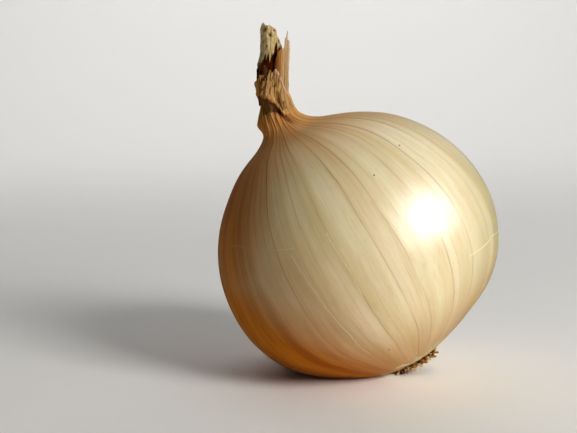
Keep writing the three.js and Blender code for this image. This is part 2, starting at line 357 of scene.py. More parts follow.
class Finish:
    def __init__(self, name):
        self.material = bpy.data.materials.new(name)
        self.material.use_nodes = True
        self.tree = self.material.node_tree
        self.tree.nodes.clear()

    def node(self, kind, settings=None, inputs=None, output=0):
        made = self.tree.nodes.new(kind)
        for key, value in (settings or {}).items():
            setattr(made, key, value)
        for key, value in (inputs or {}).items():
            if isinstance(value, Wire):
                self.tree.links.new(value.socket, made.inputs[key])
            else:
                made.inputs[key].default_value = value
        return Wire(self, made.outputs[output]) if made.outputs else None

    def math(self, operation, *values):
        return self.node("ShaderNodeMath", {"operation": operation}, dict(enumerate(values)))

    def field(self, name):
        return self.node("ShaderNodeAttribute", {"attribute_name": name}, output="Fac")

    def join(self, x, y, z):
        return self.node("ShaderNodeCombineXYZ", inputs={0: x, 1: y, 2: z})

    def noise(self, vector, scale, detail=2, roughness=0.5):
        inputs = {"Vector": vector, "Scale": scale, "Detail": detail, "Roughness": roughness}
        return self.node("ShaderNodeTexNoise", {}, inputs, "Fac")

    def chance(self, number):  # a random number from 0 to 1 for each whole number
        return self.node("ShaderNodeTexWhiteNoise", {"noise_dimensions": "1D"}, {"W": number}, "Value")

    def blend(self, share, first, second):  # the factor and colours of a Mix node are sockets 0, 6 and 7
        settings = {"data_type": "RGBA", "clamp_factor": True}
        return self.node("ShaderNodeMix", settings, {0: share, 6: first, 7: second}, 2)

    def bump(self, height, strength, distance):
        return self.node("ShaderNodeBump", {}, {"Height": height, "Strength": strength, "Distance": distance})

    def surface(self, **inputs):
        named = {key.replace("_", " "): value for key, value in inputs.items()}
        shader = self.node("ShaderNodeBsdfPrincipled", {}, named)
        self.node("ShaderNodeOutputMaterial", {}, {"Surface": shader})
        return self.material


# Finishes.

skin = {
    "cream": paint(238, 226, 190),
    "honey": paint(222, 202, 152),
    "olive": paint(188, 176, 128),
    "tan": paint(210, 150, 82),
    # amber and rust paint the bulb's warm shade away from the key lamp, and tint the sheaths
    "amber": paint(196, 114, 4),
    "rust": paint(160, 80, 2),
    "thread": paint(196, 158, 100),
    "blush": paint(222, 184, 142),
    "crease": paint(112, 48, 12),
    "dark": paint(58, 18, 1),
    "rimPaper": paint(224, 178, 150),
    "rimShade": paint(150, 108, 98),
    "pale": paint(222, 204, 150),
    "vein": paint(140, 82, 24),
    "scratch": paint(250, 240, 206),
    "veinWidth": 0.28,  # mm
    "veinShow": 0.36,
    "faintVeins": 90,
    "faintWidth": 0.3,
    "roughness": 0.4,
    "waxEnds": (28, 45),  # mm along: from here up the skin dries and loses its wax
}

marks = {  # places on the skin: mm along the spine, degrees round it; a width is clear to faded, in mm
    "crack": ((-13.8, 8), (-13.2, 18), (-12, 28), (-12.4, 36), (-12.2, 42), (-11.7, 49)),
    "scratches": (
        ((13, 113.5), (6.9, 112), (-5.3, 110), (-13, 109), (-24, 110)),
        ((14, 97), (3.8, 96), (-4.5, 96)),
    ),
    "fold": ((22.5, 161), (20.4, 139), (18.3, 128), (15.9, 120), (14.2, 111)),
    "specks": ((23.6, 46), (20.7, 68), (-26.2, 101)),
    "crackWidth": (0.06, 0.24),
    "scratchWidth": (0.04, 0.17),
    "foldWidth": (0.04, 0.3),
    "speckWidth": (0.1, 0.34),
    "wobble": 0.7,
}


def makeSkin():
    f = Finish("onionSkin")
    along, girth = f.field("along"), f.field("girth")
    cosine, sine = f.field("turnCos"), f.field("turnSin")
    turn = sine.math("ARCTAN2", cosine) / (2 * math.pi)
    roundSkin = f.join(cosine, sine, along * 0.003)
    fineRound = f.join(cosine, sine, along * 0.06)
    streaks = f.noise(roundSkin, scale=7, detail=4, roughness=0.6)
    threads = f.noise(roundSkin, scale=46, detail=3, roughness=0.7)
    clouds = f.noise(fineRound, scale=1.6, detail=3)
    fleck = f.noise(fineRound, scale=24, roughness=0.6)

    def veinLines(count, width, series):
        place = turn * count
        nearest = place.math("ROUND")
        index = nearest.math("FLOORED_MODULO", count)
        apart = (place - nearest).math("ABSOLUTE") * girth * (2 * math.pi / count)
        luck = f.chance(index + series)
        broken = f.noise(f.join(index * 3.7 + series, along * 0.045, 0.0), scale=1.0)
        line = 1 - (apart / (width * (0.6 + luck * 0.8))).between(0.25, 1.0)
        return line * (0.3 + 0.7 * luck) * broken.between(0.3, 0.62), apart

    def awayFromLine(stops):  # mm from a line through the stops
        nearest = None
        wobble = (fleck - 0.5) * marks["wobble"]
        for (startAlong, startAngle), (endAlong, endAngle) in zip(stops, stops[1:]):
            places, angles = np.array([startAlong, endAlong]), np.radians([startAngle, endAngle])
            startTurn, endTurn = map(float, veinTurn(angles, places))
            size = 2 * math.pi * float(profileRadius(places.mean(), angles.mean()))
            reachX, reachY = (endTurn - startTurn) * size, endAlong - startAlong
            x, y = (turn - startTurn) * size + wobble, along - startAlong
            share = (x * reachX + y * reachY) / (reachX ** 2 + reachY ** 2 + 1e-6)
            share = share.math("MAXIMUM", 0.0).math("MINIMUM", 1.0)
            x, y = x - share * reachX, y - share * reachY
            apart = (x * x + y * y) ** 0.5
            nearest = nearest.math("MINIMUM", apart) if nearest else apart
        return nearest

    crack = (1 - awayFromLine(marks["crack"]).between(*marks["crackWidth"])) * streaks.between(0.2, 0.55)
    scratches = [1 - awayFromLine(stops).between(*marks["scratchWidth"]) for stops in marks["scratches"]]
    scratches = scratches[0].math("MAXIMUM", *scratches[1:]) * streaks.between(0.3, 0.6)
    foldMark = (1 - awayFromLine(marks["fold"]).between(*marks["foldWidth"])) * streaks.between(0.4, 0.6)
    specks = [1 - awayFromLine((place, place)).between(*marks["speckWidth"]) for place in marks["specks"]]
    specks = specks[0] + specks[1] + specks[2]

    mainLines, mainApart = veinLines(veins["count"], skin["veinWidth"], series=3)
    faintLines, _ = veinLines(skin["faintVeins"], skin["faintWidth"], series=11)
    halo = (1 - mainApart.between(0.1, 1.3)) * 0.3
    toNeck = along.between(8, 46)

    # The strip between two veins has its own tone.
    strip = (turn * veins["count"]).math("FLOOR").math("FLOORED_MODULO", veins["count"])
    panel = f.chance(strip + 31)
    colour = f.blend(streaks.between(0.3, 0.7), skin["cream"], skin["honey"])
    # olive: a greener tint, and painted shade along the right edge
    colour = f.blend(f.field("olive") * (0.35 + clouds * 0.6 + panel * 0.6), colour, skin["olive"])
    colour = f.blend(threads.between(0.5, 0.75) * 0.25, colour, skin["thread"])
    colour = f.blend(panel.between(0.55, 1.0) * 0.22, colour, skin["blush"])
    colour = f.blend(fleck.between(0.56, 0.8) * 0.12, colour, skin["thread"])
    colour = f.blend(halo * (0.3 + toNeck * 0.7), colour, skin["thread"])
    colour = f.blend(f.field("tan") * (0.7 + threads * 0.6), colour, skin["tan"])
    # amber on the bulb is painted warm shade away from the key lamp; on the sheaths it is a golden tint
    amber = f.field("amber") * (0.82 + streaks * 0.4)
    colour = f.blend(amber, colour, f.blend(streaks.between(0.35, 0.7), skin["amber"], skin["rust"]))
    colour = f.blend(f.field("pale"), colour, skin["pale"])
    colour = f.blend(faintLines * (0.16 + toNeck * 0.24), colour, skin["vein"])
    colour = f.blend(mainLines * (skin["veinShow"] + toNeck * 0.42), colour, skin["vein"])
    colour = f.blend(foldMark * 0.14, colour, skin["scratch"])
    colour = f.blend(scratches * 0.5, colour, skin["scratch"])
    colour = f.blend(crack * 0.7, colour, skin["scratch"])
    colour = f.blend(specks * 0.85, colour, skin["dark"])
    colour = f.blend(f.field("rimPaper"), colour, skin["rimPaper"])
    colour = f.blend(f.field("rimShade"), colour, skin["rimShade"])
    # crease paints shade in creases and the shadow under the collar's fold
    colour = f.blend(f.field("crease"), colour, skin["crease"])
    # dark paints the shade inside the collar and on the dark sheath; it also darkens the root plate's rim and
    # the tall sheath's left edge
    colour = f.blend(f.field("dark"), colour, skin["dark"])

    height = streaks * 0.5 + threads * 0.25 + mainLines * 0.5 + fleck * 0.15
    dry = along.between(*skin["waxEnds"])
    waxy = (1 - dry) * (1 - f.field("amber") * 0.8) * (0.82 + streaks * 0.3)
    return f.surface(
        Base_Color=colour,
        Roughness=dry * 0.3 + threads * 0.12 + skin["roughness"],
        Normal=f.bump(height, strength=0.35, distance=0.0004),
        Subsurface_Weight=0.3,
        Subsurface_Radius=(0.02, 0.008, 0.002),
        Subsurface_Scale=0.35,
        Specular_IOR_Level=0.04,
        Coat_Weight=waxy,
        Coat_Roughness=0.4,
        Coat_IOR=1.36,
    )


dryLeaf = {
    "straw": paint(232, 210, 158),
    "brown": paint(64, 22, 1),
    "fibre": paint(168, 134, 78),
    "blotch": paint(170, 138, 84),
}


def makeDryLeaf():
    f = Finish("dryLeafSheath")
    along, cosine, sine = f.field("along"), f.field("turnCos"), f.field("turnSin")
    fibres = f.noise(f.join(cosine, sine, along * 0.03), scale=18, detail=4, roughness=0.7)
    blotches = f.noise(f.join(cosine, sine, along * 0.25), scale=2.4, detail=3, roughness=0.6)
    colour = f.blend(fibres.between(0.35, 0.7), dryLeaf["straw"], dryLeaf["fibre"])
    colour = f.blend(blotches.between(0.5, 0.8) * 0.5, colour, dryLeaf["blotch"])
    # dark paints the stub's shade, over its own darker brown below the fringe
    colour = f.blend(f.field("dark"), colour, dryLeaf["brown"])
    return f.surface(
        Base_Color=colour,
        Roughness=0.62 + fibres * 0.25,
        Normal=f.bump(fibres + blotches * 0.4, strength=0.7, distance=0.0005),
        Subsurface_Weight=0.12,
        Subsurface_Radius=(0.004, 0.002, 0.001),
        Subsurface_Scale=0.3,
        Specular_IOR_Level=0.0,
    )


dryRoot = {
    "brown": paint(74, 30, 8),
    "cream": paint(224, 186, 142),
    "ochre": paint(170, 116, 28),
}


def makeDryRoot():
    f = Finish("dryRoot")
    place = f.node("ShaderNodeTexCoord", output="Object")
    grit = f.noise(place, scale=900, detail=3, roughness=0.6)
    crust = f.noise(place, scale=320, detail=3, roughness=0.6)
    tone = f.field("tone")
    colour = f.blend(tone.between(0.25, 0.5), dryRoot["brown"], dryRoot["ochre"])
    colour = f.blend(tone.between(0.5, 0.8), colour, dryRoot["cream"])
    colour = f.blend(crust.between(0.5, 0.75) * 0.55, colour, dryRoot["brown"])
    return f.surface(
        Base_Color=colour,
        Roughness=0.75 + grit * 0.2,
        Normal=f.bump(grit + crust, strength=0.8, distance=0.0004),
        Specular_IOR_Level=0.05,
    )


skinFinish, leafFinish, rootFinish = makeSkin(), makeDryLeaf(), makeDryRoot()
print("finishes made")


# Pieces are meshes with their own fields for the shaders.

def gridFaces(rows, columns, closed=True, start=0, flip=False):
    wide = columns if closed else columns - 1
    row, here = np.arange(rows - 1)[:, None] * columns, np.arange(wide)[None, :]
    beside = (here + 1) % columns
    corners = [row + here, row + columns + here, row + columns + beside, row + beside]
    quads = np.stack(corners[::-1] if flip else corners, -1).reshape(-1, 4)
    return (quads + start).tolist()


def addPiece(name, points, faces, fields, finish, replaced=()):
    mesh = bpy.data.meshes.new(name)
    mesh.from_pydata((points * mm).tolist(), [], faces)
    for field, values in fields.items():
        layer = mesh.attributes.new(field, "FLOAT", "POINT")
        layer.data.foreach_set("value", np.asarray(values, np.float32).ravel())
    mesh.shade_smooth()
    mesh.materials.append(finish)
    piece = bpy.data.objects.new(name, mesh)
    bpy.context.scene.collection.objects.link(piece)
    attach(piece, "root")
    if replaced:
        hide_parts(*replaced)
    print(name, "has", len(points), "points")


def closedRings(rings, firstPoint, lastPoint):  # points and faces of a closed body over its rings
    rows, columns = rings.shape[:2]
    points = np.concatenate([firstPoint[None], rings.reshape(-1, 3), lastPoint[None]])
    faces = gridFaces(rows, columns, start=1)
    top, last = 1 + (rows - 1) * columns, len(points) - 1
    for c in range(columns):
        d = (c + 1) % columns
        faces.append((0, 1 + c, 1 + d))
        faces.append((last, top + d, top + c))
    return points, faces


def ringFields(**values):  # the same, for what is stored on the points
    return {name: np.concatenate([[v.flat[0]], v.ravel(), [v.flat[-1]]]) for name, v in values.items()}


def settle(points):  # the underside is pressed flat on the table
    points[..., 2] = np.maximum(points[..., 2], 0)
    return points


def skinHuesAndShade(points, along, angle):  # broad changes of hue over the skin, with painted shade
    around = angle / (2 * np.pi)
    x, y, z = np.moveaxis((points - girthMiddle) / bulb["girthRadius"], -1, 0)
    streaky = grain(around, along / 40, cells=11, series=70)
    # painted shade: warm golden brown on the lower left and the left side, turned away from the key lamp
    low = ease(0.22, 0.76, 0.1 * streaky - 0.55 * x - 0.85 * z)
    low = np.maximum(low, 0.4 * ease(-0.1, 0.55, 0.1 * streaky - 0.6 * x - 0.6 * z))
    left = 0.9 * ease(0.48, 0.92, -x + 0.12 * streaky)
    amber = np.maximum(low, left) * ease(-37.4, -35, along)
    cloudy = 0.2 * grain(around, along / 40, cells=6, series=74, layers=2)
    # the olive on the left front is a greener tint of the skin; the olive along the right edge is painted
    # shade where the light grazes
    olive = 0.7 * ease(-0.5, 0.2, 0.4 * y - 0.75 * x - 0.3 * z + cloudy)
    olive = np.maximum(olive, 0.85 * ease(0.5, 0.95, x))
    toRoot = 0.5 * ease(-14, -34, along + 3 * streaky)
    toNeck = ease(24, 45, along + 2.5 * grain(around, along / 14, cells=16, series=78))
    tan = np.maximum((0.92 - 0.2 * ease(45, 49, along)) * toNeck, toRoot)
    return amber, olive, tan


bulbMesh = {
    "columns": 480,
    "bellyRows": 150,
    "neckRows": 120,
    "neckFoot": 37,  # mm along the spine, where the rows of the neck begin
    "darkRows": 5,  # inside the collar, painted dark as shade
    "rootWaver": 0.35,
}


def makeBulb():
    columns, bellyRows, neckRows = bulbMesh["columns"], bulbMesh["bellyRows"], bulbMesh["neckRows"]
    angle = np.arange(columns) / columns * 2 * np.pi
    neckFoot, plateAt, edge = bulbMesh["neckFoot"], bulb["plateAt"], tornEdge(angle)
    share = np.linspace(0, 1, bellyRows)[:, None]
    rootPart = plateAt * np.cos(share[: bellyRows // 2] * np.pi)
    neckPart = -neckFoot * np.cos(share[bellyRows // 2:] * np.pi)
    belly = np.concatenate([rootPart, neckPart]) + 0 * angle
    neck = neckFoot + (edge - neckFoot) * np.linspace(0, 1, neckRows + 1)[1:, None]
    along = np.concatenate([belly, neck])
    allAngles = np.broadcast_to(angle, along.shape)
    radius = skinRadius(along, allAngles, veinTurn(allAngles, along))
    ragged = ease(-34.5, plateAt, along)
    rootWaver = grain(allAngles / (2 * np.pi), 0 * along, cells=20, series=84)
    radius = radius + bulbMesh["rootWaver"] * ragged * rootWaver

    # The skin turns in under the root plate, and at the other end down into the collar.
    level = np.zeros((1, columns))
    lipAlong = along[:1] - bulbMesh["rootWaver"] * rootWaver[:1] - 0.25
    rootRows = np.concatenate([level + plateAt + bulb["plateRecess"], lipAlong + 0.35, lipAlong])
    rootRadius = np.concatenate([level + bulb["plateRadius"] - 0.2, radius[:1] - 0.75, radius[:1] - 0.35])
    pastEdge, wallShare = np.array(collar["turnedIn"]).T[..., None]
    inside = edge + pastEdge
    inside[-1] = collar["innerFoot"]
    inside = np.maximum(inside, collar["innerFoot"])
    insideAngles = np.broadcast_to(angle, inside.shape)
    insideRadius = skinRadius(inside, insideAngles, veinTurn(insideAngles, inside))
    insideRadius = insideRadius - collar["wall"] * wallShare

    along = np.concatenate([rootRows, along, inside])
    radius = np.concatenate([rootRadius, radius, insideRadius])
    allAngles = np.broadcast_to(angle, along.shape)
    turn, degrees = veinTurn(allAngles, along), np.degrees(allAngles)
    rings = settle(ringPoint(along, allAngles, radius))
    first = settle(ringPoint(plateAt + bulb["plateRecess"], 0.0, 0.0))
    last = ringPoint(collar["innerFoot"], 0.0, 0.0)
    points, faces = closedRings(rings, first, last)

    amber, olive, tan = skinHuesAndShade(rings, along, allAngles)
    patches = grain(allAngles / (2 * np.pi), along / 1.6, cells=34, series=88)  # at the rim of the root plate
    pale = ease(0.0, 0.2, 1.4 * patches + 1.1 * ease(-33.8, -37.4, along) - 0.55) * ease(-33, -34.5, along)
    scorched = 0.8 * ease(0.05, 0.3, -patches) * ease(-36.4, -37.1, along)
    dark = np.zeros(along.shape)
    # painted shade on the inside of the collar
    dark[-bulbMesh["darkRows"]:] = 0.75
    long, small, _ = collarCreases(along, allAngles)
    # painted shade in the collar's creases, and painted shadow in the hollow under the folded lip
    crease = np.minimum(long * 0.55 + small * 0.3, 1) * ease(43, 49, along)
    under = roundTheTurn(allAngles, collar["foldLine"]) - along
    hollow = ease(-0.3, 0.6, under) * (1 - ease(1.8, collar["foldReach"], under)) * foldSide(allAngles)
    crease = np.maximum(0.58 * crease, 0.9 * hollow)
    below = edge - along
    front = ease(10, 24, degrees) * (1 - ease(74, 92, degrees))
    rimPaper = 0.75 * front * (1 - ease(0.8, 1.4, below + 0.3 * small))
    rimShade = 0.7 * front * ease(0.9, 1.3, below) * (1 - ease(1.8, 2.6, below)) * ease(40, 55, degrees)
    fields = ringFields(
        crease=crease, rimPaper=rimPaper, rimShade=rimShade,
        along=along, girth=radius, turnCos=np.cos(2 * np.pi * turn), turnSin=np.sin(2 * np.pi * turn),
        amber=amber, olive=olive, tan=tan, pale=pale, dark=np.maximum(dark, scorched),
    )
    return points, faces, fields


bulbPoints, bulbFaces, bulbFields = makeBulb()
cadMiddle = (np.array(bulbLow) + np.array(bulbHigh)) / 2 / mm
ownMiddle = (bulbPoints.min(0) + bulbPoints.max(0)) / 2
shift = np.array([cadMiddle[0] - ownMiddle[0], cadMiddle[1] - ownMiddle[1], 0])
addPiece("bulbSkin", bulbPoints + shift, bulbFaces, bulbFields, skinFinish, ["bulb"])


# Thin leaves: a grid of points gets a thickness and closed edges.

def leafShell(middle, thickness):
    rows, columns = middle.shape[:2]
    alongRows, alongColumns = np.gradient(middle, axis=0), np.gradient(middle, axis=1)
    normal = np.cross(alongColumns, alongRows)
    normal /= np.linalg.norm(normal, axis=-1, keepdims=True) + 1e-12
    half = normal * thickness / 2
    count = rows * columns
    points = np.concatenate([(middle + half).reshape(-1, 3), (middle - half).reshape(-1, 3)])
    faces = gridFaces(rows, columns, closed=False)
    faces += gridFaces(rows, columns, closed=False, start=count, flip=True)
    index = np.arange(count).reshape(rows, columns)
    rim = np.concatenate([index[0, :-1], index[:-1, -1], index[-1, :0:-1], index[:0:-1, 0]])
    after = np.roll(rim, -1)
    faces += np.stack([rim, after, after + count, rim + count], -1).tolist()
    return points, faces


def leafFields(shape, **values):
    return {name: np.tile(np.broadcast_to(v, shape).ravel(), 2) for name, v in values.items()}


def makeSheathLeaf(name, leaf, tone):
    columns, rows, seed = leaf["columns"], leaf["rows"], leaf["seed"]
    angle = np.radians(np.linspace(*leaf["spread"], columns))
    around = angle / (2 * np.pi)
    torn = leaf["tear"] * grain(around, 0 * angle, cells=30, series=seed, layers=4)
    top = roundTheTurn(angle, leaf["top"]) + torn
    for middle, halfWidth, height in leaf.get("wisps", ()):
        aside = away(angle, np.radians(middle)) / np.radians(halfWidth)
        top = top + height * np.clip(1 - aside, 0, 1) ** 0.8
    share = np.linspace(0, 1, rows)[:, None]
    along = leaf["foot"] + (top - leaf["foot"]) * share
    around = np.broadcast_to(around, along.shape)
    radius = mix(leaf["radius"], share) + leaf["flute"] * grain(around, along / 30, cells=17, series=seed + 4)
    radius = radius + leaf["crinkle"] * grain(around, along / 2.5, cells=20, series=seed + 8)
    fromEdge = np.minimum(angle - angle[0], angle[-1] - angle)
    radius = radius - leaf["curl"] * (1 - ease(0, 0.35, fromEdge)) * ease(0.5, 1, share)
    allAngles = np.broadcast_to(angle, along.shape)
    points, faces = leafShell(ringPoint(along, allAngles, radius), leaf["thickness"])
    turn, degrees = veinTurn(allAngles, along), np.degrees(angle)
    fields = leafFields(
        along.shape, along=along, girth=radius,
        turnCos=np.cos(2 * np.pi * turn), turnSin=np.sin(2 * np.pi * turn),
        amber=tone["amber"](degrees), olive=0.0, tan=tone["tan"], pale=0.0, dark=tone["dark"](degrees, along),
        # painted shade along the leaf's creases
        crease=0.5 * creases(grain(around, along / 30, cells=25, series=seed + 12), 3),
        rimPaper=tone["paper"] * ease(-3.5, -0.4, along - top) * (1 - ease(40, 48, degrees)), rimShade=0.0,
    )
    addPiece(name, points + shift, faces, fields, skinFinish)


tallSheath = {  # mm and degrees, with its foot and top along the spine
    "spread": (-118, 84),
    "columns": 230,
    "rows": 120,
    "foot": 47.5,
    "top": (
        (-118, 62), (-60, 65), (-20, 66.6), (4, 67.4), (33, 67.2), (42, 65.4), (49, 66), (60, 65.4),
        (72, 64.6), (79, 63), (84, 60.5),
    ),
    "tear": 1.0,
    "seed": 100,
    "wisps": ((21, 6, 3.6), (31, 5, 1.3), (10, 4, 1.0), (-70, 8, 1.6)),  # at, half the width, mm high
    "radius": (4.35, 4.3),
    "flute": 0.65,
    "crinkle": 0.26,
    "curl": 0.5,
    "thickness": 0.25,
}
makeSheathLeaf("tallSheath", tallSheath, {
    "tan": 0.3,
    "amber": lambda degrees: 0.14 + 0.7 * ease(40, 60, degrees),
    "paper": 0.7,
    "dark": lambda degrees, along: 0.5 * ease(46, 72, degrees) * (1 - 0.4 * ease(62, 65, along)),
})

darkSheath = {  # a shorter torn layer at the left, painted nearly black as the shade it lies in
    "spread": (100, 262),
    "columns": 200,
    "rows": 80,
    "foot": 50,
    "top": ((100, 58), (130, 60.4), (150, 61.4), (185, 61), (230, 60), (262, 57)),
    "tear": 0.9,
    "seed": 120,
    "radius": (4.5, 4.45),
    "flute": 0.25,
    "crinkle": 0.3,
    "curl": 0.5,
    "thickness": 0.25,
}
makeSheathLeaf("darkSheath", darkSheath, {
    "tan": 0.9,
    "amber": lambda degrees: 0.3,
    "paper": 0.06,
    # painted shade
    "dark": lambda degrees, along: 0.88 - 0.2 * ease(60, 61, along),
})


# Inner stub: a pale dried roll with a slanting torn end, small pits and a hollow.

innerSheath = {
    "columns": 200,
    "rows": 150,
    "foot": 54.6,
    "radius": 2.85,
    "top": (
        (-120, 70.6), (-60, 69), (0, 66), (39, 66.8), (52, 68.8), (62, 71.2), (75, 71.4), (100, 71.9),
        (125, 72.4), (140, 73), (152, 71.6), (160, 71.4), (180, 70.6),
    ),
    "tear": 0.5,
    "hollow": 3.0,
    "wall": 0.5,
    "fringe": (
        (-120, 62), (0, 64), (40, 66.4), (70, 65.8), (84, 64.8), (93, 63.2), (110, 63), (130, 62.4),
        (150, 61.4), (180, 61),
    ),
    "lean": (-0.4, -1.1),
    "leanOver": 19,
    "footFlare": 1.5,
    "thread": (0.2, 0.2),  # mm out, mm wide
    "pits": (  # mm along, degrees, mm wide, mm deep
        (69.3, 98, 0.45, 1.2), (71.0, 128, 0.5, 1.1), (70.6, 72, 0.3, 0.6), (66.0, 118, 0.3, 0.5),
        (67.5, 152, 0.4, 0.8),
    ),
}


def makeInnerSheath():
    s = innerSheath
    columns, rows = s["columns"], s["rows"]
    angle = np.arange(columns) / columns * 2 * np.pi
    turn = angle / (2 * np.pi)
    torn = grain(turn, 0 * angle, cells=16, series=140)
    torn = torn + 0.3 * grain(turn, 0 * angle, cells=60, series=144, layers=1)
    top = roundTheTurn(angle, s["top"]) + s["tear"] * torn
    share = np.linspace(0, 1, rows)[:, None]
    along = s["foot"] + (top - s["foot"]) * share
    down = top - s["hollow"] * np.array([-0.03, 0.05, 0.2, 0.6, 1])[:, None]
    along = np.concatenate([along, down])
    around = np.broadcast_to(turn, along.shape) + 0.004 * (along - 60)
    radius = s["radius"] + 0.3 * grain(around, along / 16, cells=7, series=150, layers=2)
    radius = radius + 0.28 * grain(around, along / 9, cells=30, series=154)
    radius = radius + 0.16 * grain(around, along / 1.6, cells=18, series=158, layers=2)
    threadAt = 67.0 + (140 - np.degrees(np.mod(angle, 2 * np.pi))) / 50  # it slants round the front
    threadOut, threadWidth = s["thread"]
    thread = threadOut * np.exp(-((along - threadAt) / threadWidth) ** 2)
    radius = radius + thread * (away(angle, np.radians(100)) < 0.9)
    leftSide = ease(0.2, 0.7, 0.5 - 0.5 * np.cos(angle))
    radius = radius + s["footFlare"] * (1 - ease(58.5, 65.5, along)) * leftSide
    strands = np.abs(grain(around, 0 * along, cells=46, series=162, layers=2))
    fringe = roundTheTurn(angle, s["fringe"]) + 1.2 - 4.5 * np.maximum(strands - 0.1, 0)
    radius = radius + 0.3 * ease(-0.25, 0.25, along - fringe)

    def fromPit(at, degrees, width):  # 0 in the middle of a pit, 1 at its rim
        aside = away(angle, np.radians(degrees)) * s["radius"]
        return ((along - at) / width) ** 2 + (aside / width) ** 2

    for at, degrees, width, depth in s["pits"]:
        radius = radius - depth * np.exp(-fromPit(at, degrees, width))
    radius[rows:] -= np.array([0.15, s["wall"], s["wall"] + 0.2, 1.2, 1.9])[:, None]
    allAngles = np.broadcast_to(angle, along.shape)
    rings = ringPoint(along, allAngles, radius)
    rings[..., 0] += mix(s["lean"], np.clip((along - s["foot"]) / s["leanOver"], 0, 1) ** 2)
    points, faces = closedRings(rings, rings[0].mean(0), rings[-1].mean(0))
    # dark below the pale fringe, where the stub is darker brown and painted with the shade behind the collar;
    # painted shade inside the hollow and in the pits
    dark = 1 - ease(-0.5, 0.5, along - fringe)
    dark[rows + 1:] = 0.85
    for at, degrees, width, _ in s["pits"]:
        dark = np.maximum(dark, 0.9 * np.exp(-1.6 * fromPit(at, degrees, width)))
    fields = ringFields(
        along=along, girth=radius, dark=dark,
        turnCos=np.cos(allAngles), turnSin=np.sin(allAngles),
    )
    addPiece("innerSheath", points + shift, faces, fields, leafFinish, ["inner_sheath"])


makeInnerSheath()


# Root end: a rough plate with short dried roots, some dark and some pale.

rootEnd = {
    "plateColumns": 160,
    "plateRows": 26,
    "plateGap": 0.35,
    "stubs": 105,
    "spiral": 137.5,  # degrees from one stub to the next
    "reach": 0.97,
    "crumbs": 60,
    "crumbSpread": (-35, 215),
    "length": (0.8, 2.8),
    "radius": (0.45, 1.0),
    "sides": 10,
    "rings": 10,
    "tableGap": 0.3,
}


def rootDirections():
    centre, side, front, up = (onSpine(rows, bulb["plateAt"]) for rows in spine[1:])
    return centre, side, front, -up


def makeRootPlate():
    columns, rows, gap = rootEnd["plateColumns"], rootEnd["plateRows"], rootEnd["plateGap"]
    angle = np.arange(columns) / columns * 2 * np.pi
    centre, side, front, out = rootDirections()
    share = np.linspace(1, 0.03, rows)[:, None]
    radius = share * (bulb["plateRadius"] - gap)
    turn = np.broadcast_to(angle / (2 * np.pi), (rows, columns))
    rise = 0.7 * (1 - share ** 2) + 0.45 * grain(turn, share * 9, cells=18, series=170)
    rise = np.concatenate([np.full((1, columns), -bulb["plateRecess"] + gap), rise])
    radius = np.concatenate([radius[:1], radius]) + 0 * rise
    across = side * np.cos(angle)[:, None] + front * np.sin(angle)[:, None]
    rings = centre + across * radius[..., None] + out * rise[..., None]
    rings = rings[:, ::-1]
    points, faces = closedRings(settle(rings), rings[0].mean(0), rings[-1].mean(0))
    speckle = grain(turn[:1] + 0 * rise, rise * 0 + 3.3, cells=26, series=176)
    tone = ringFields(tone=0.15 + 0.35 * (0.5 + 0.5 * speckle))
    return points, faces, tone["tone"]


def makeRootStub(k, reach, turn, size, sunk):
    centre, side, front, out = rootDirections()
    sides, rings = rootEnd["sides"], rootEnd["rings"]
    radial = side * math.cos(turn) + front * math.sin(turn)
    around = -side * math.sin(turn) + front * math.cos(turn)
    pick = [float(scatter(k, series=180 + i)) for i in range(8)]
    length = size * mix(rootEnd["length"], pick[0] ** 1.3)
    thick = size * mix(rootEnd["radius"], pick[1] ** 1.4)
    share = np.linspace(0, 1, rings)[:, None]
    splay = (0.1 + 0.9 * pick[2]) * reach / bulb["plateRadius"]
    curl = (pick[3] - 0.5) * 1.1
    middle = centre + radial * reach - out * sunk
    middle = middle + out * (length + sunk) * (share - 0.22 * splay * share ** 2)
    middle = middle + radial * length * splay * share ** 1.7 + around * length * curl * share ** 2
    middle = middle + around * 0.2 * np.sin(share * 9 + 6 * pick[4])
    middle = middle + radial * 0.14 * np.sin(share * 11 + 6 * pick[7])
    angle = np.arange(sides) / sides * 2 * np.pi
    width = thick * (1 - 0.25 * share) * (1 + 0.3 * np.sin(share * 13 + 6 * pick[5]))
    width[-2:] *= np.array([[0.85], [0.5]])
    ring = side * np.cos(angle)[:, None] - front * np.sin(angle)[:, None]
    column, row = np.arange(sides)[None], np.arange(rings)[:, None]
    lumps = 1 + 0.55 * (scatter(column + 9 * k + 31 * row, series=190) - 0.5)
    points = middle[:, None] + ring * (width * lumps)[..., None]
    speckle = 0.3 * (scatter(column + 5 * k + share * 90, series=192) - 0.5)
    tone = ringFields(tone=pick[6] * (0.45 + 0.75 * share) + speckle)
    points, faces = closedRings(points, middle[0], middle[-1])
    gap = rootEnd["tableGap"]
    low = points[:, 2] < gap
    points[low, 2] = gap * np.exp((points[low, 2] - gap) / gap)
    return points, faces, tone["tone"]


